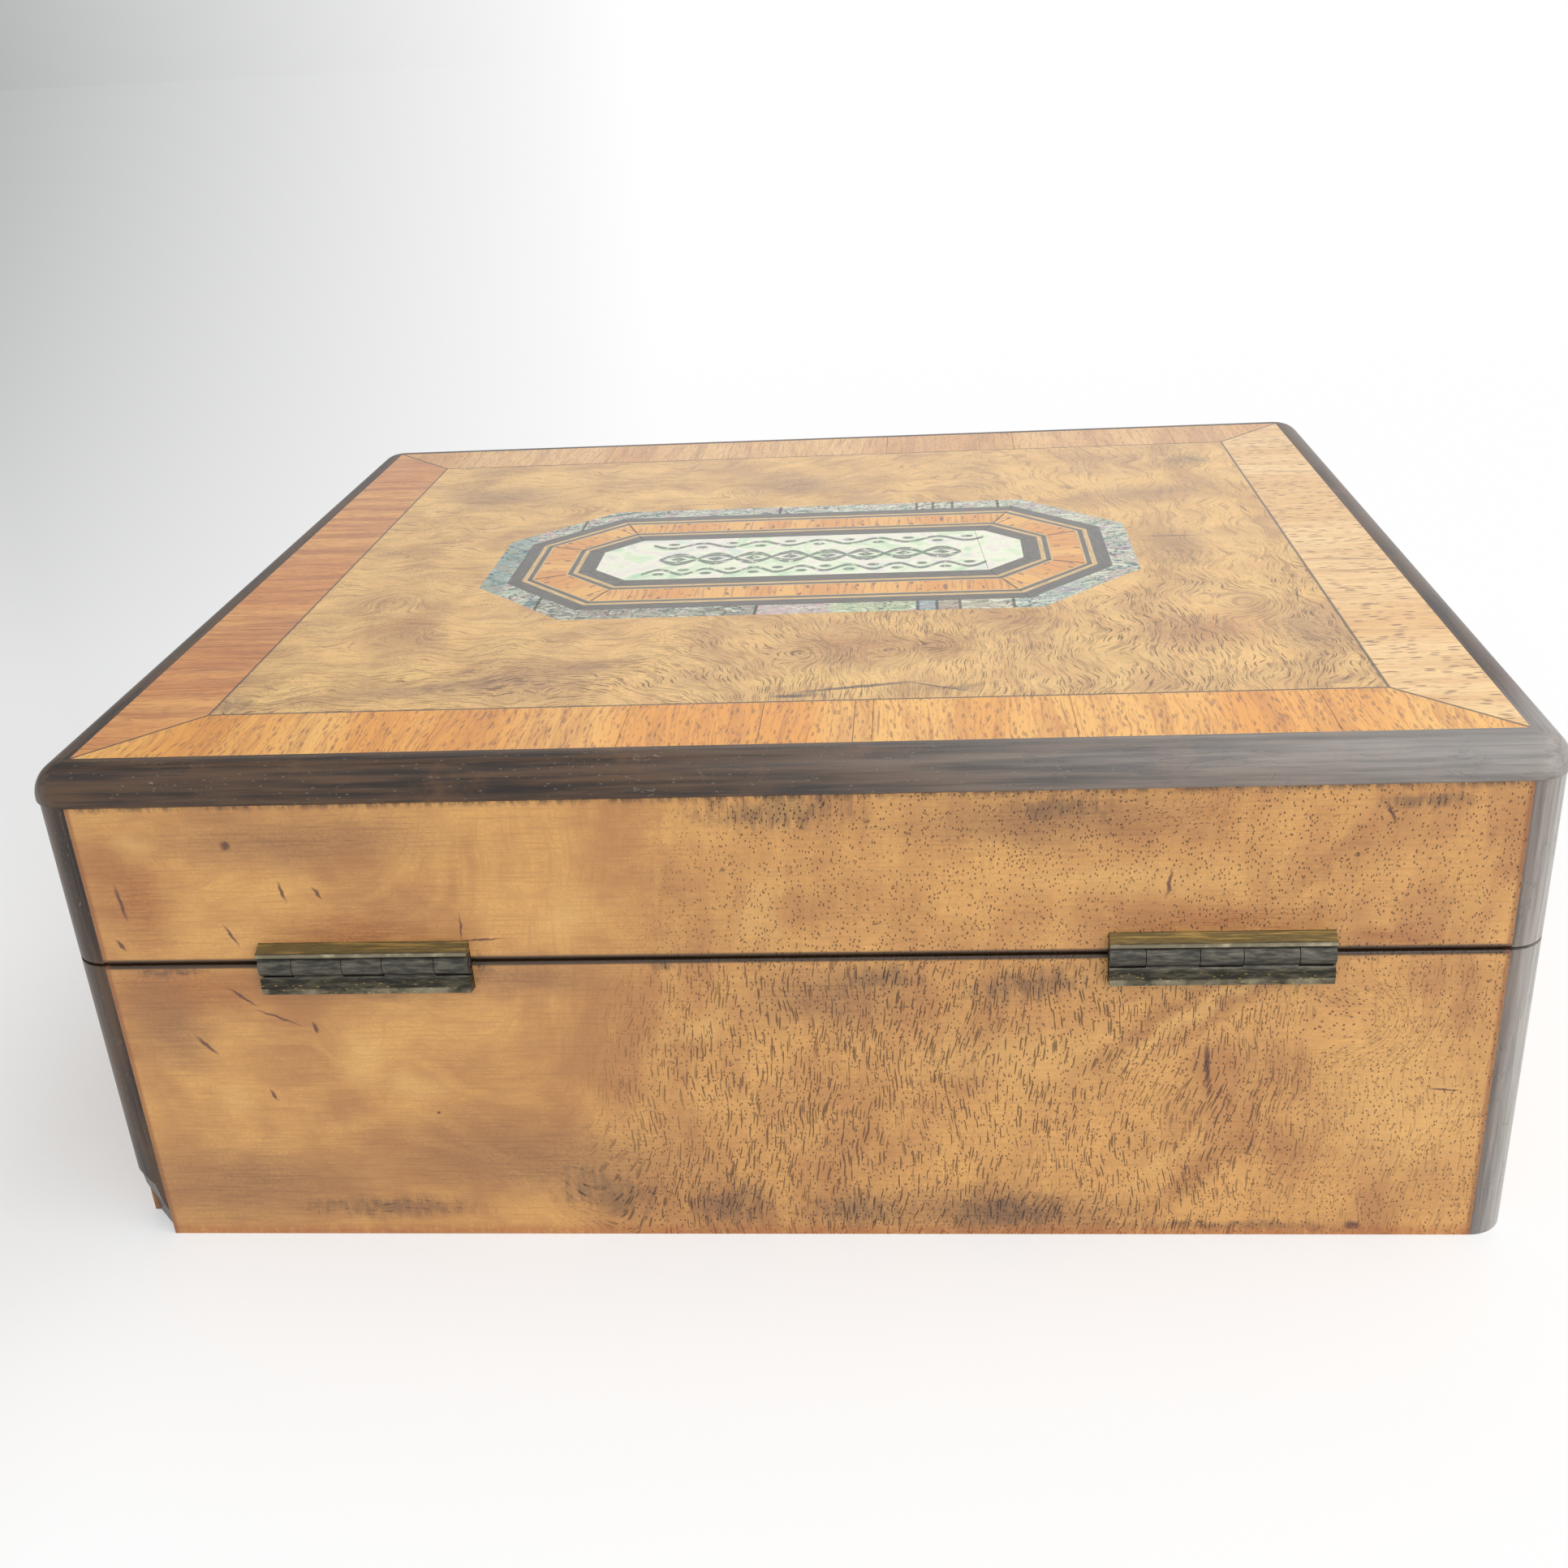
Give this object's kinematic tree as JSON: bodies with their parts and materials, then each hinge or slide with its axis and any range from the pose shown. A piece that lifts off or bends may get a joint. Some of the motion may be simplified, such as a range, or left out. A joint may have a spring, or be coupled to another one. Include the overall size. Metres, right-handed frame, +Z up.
{
  "type": "handkerchief box",
  "caption": "Rectangular veneered handkerchief box with a lid on stop hinges, crossbanded top, octagonal shell inlay, corner beads and a lined inside.",
  "frame": {"origin": "centre of the underside of the base, without the hinges", "axes": "+X along the width to the right of a person in front of the lock, +Y to the back where the hinges are, +Z up"},
  "size_m": [0.2006, 0.1702, 0.0765],
  "materials": {
    "abalone": "polished abalone shell in pieces",
    "boxwood": "pale line inlay, polished",
    "burr_walnut": "figured veneer under an old french polish",
    "carcass_wood": "plain sawn softwood or mahogany, unpolished",
    "crossband_walnut": "cross-grained veneer under an old french polish",
    "ebony": "black band inlay, polished",
    "hinge_brass": "dull, dirty and worn",
    "kingwood": "striped cross-grained band, polished",
    "lock_brass": "satin, a little tarnished",
    "lock_steel": "plain",
    "mother_of_pearl": "polished nacre with a soft play of colour",
    "rosewood_edging": "dark solid edging, semi-gloss, worn",
    "screw_brass": "dull",
    "silk": "faded silk over card and wadding"
  },
  "bodies": {
    "base": {"base_back_board": "carcass_wood", "base_back_veneer": "burr_walnut", "base_bead_back_left": "rosewood_edging", "base_bead_back_right": "rosewood_edging", "base_bead_front_left": "rosewood_edging", "base_bead_front_right": "rosewood_edging", "base_bottom_board": "carcass_wood", "base_floor_pad": "silk", "base_front_board": "carcass_wood", "base_front_veneer": "burr_walnut", "base_left_board": "carcass_wood", "base_left_veneer": "burr_walnut", "base_right_board": "carcass_wood", "base_right_veneer": "burr_walnut", "base_screws": "screw_brass", "base_wall_linings": "silk", "hinge_lower_leaf_left": "hinge_brass", "hinge_lower_leaf_right": "hinge_brass", "hinge_pins": "hinge_brass", "keyhole_escutcheon": "lock_brass", "lock_case": "lock_brass", "lock_drill_pin": "lock_steel", "lock_plate": "lock_brass"},
    "lid": {"crossband_back": "crossband_walnut", "crossband_front": "crossband_walnut", "crossband_left": "crossband_walnut", "crossband_right": "crossband_walnut", "hinge_upper_leaf_left": "hinge_brass", "hinge_upper_leaf_right": "hinge_brass", "inlay_boxwood_lines": "boxwood", "inlay_ebony_lines": "ebony", "inlay_inner_ebony_band": "ebony", "inlay_kingwood_band": "kingwood", "inlay_outer_ebony_band": "ebony", "inlay_pearl_plaque": "mother_of_pearl", "inlay_shell_border": "abalone", "lid_back_board": "carcass_wood", "lid_back_veneer": "burr_walnut", "lid_bead_back_left": "rosewood_edging", "lid_bead_back_right": "rosewood_edging", "lid_bead_front_left": "rosewood_edging", "lid_bead_front_right": "rosewood_edging", "lid_front_board": "carcass_wood", "lid_front_veneer": "burr_walnut", "lid_left_board": "carcass_wood", "lid_left_veneer": "burr_walnut", "lid_moulding_back": "rosewood_edging", "lid_moulding_front": "rosewood_edging", "lid_moulding_left": "rosewood_edging", "lid_moulding_right": "rosewood_edging", "lid_pad": "silk", "lid_panel_veneer": "burr_walnut", "lid_right_board": "carcass_wood", "lid_right_veneer": "burr_walnut", "lid_screws": "screw_brass", "lid_top_board": "carcass_wood", "lid_wall_linings": "silk", "strike_plate": "lock_brass"},
    "lock_bolt": {"lock_bolt": "lock_brass"}
  },
  "joints": [
    {"name": "lid_hinge", "type": "hinge", "parent": "base", "child": "lid", "pos_m": [0, 0.08415, 0.04725], "axis": [-1, 0, 0], "range_deg": [0, 95]},
    {"name": "lock_bolt_slide", "type": "slide", "parent": "base", "child": "lock_bolt", "axis": [1, 0, 0], "range_m": [0, 0.0045]}
  ]
}
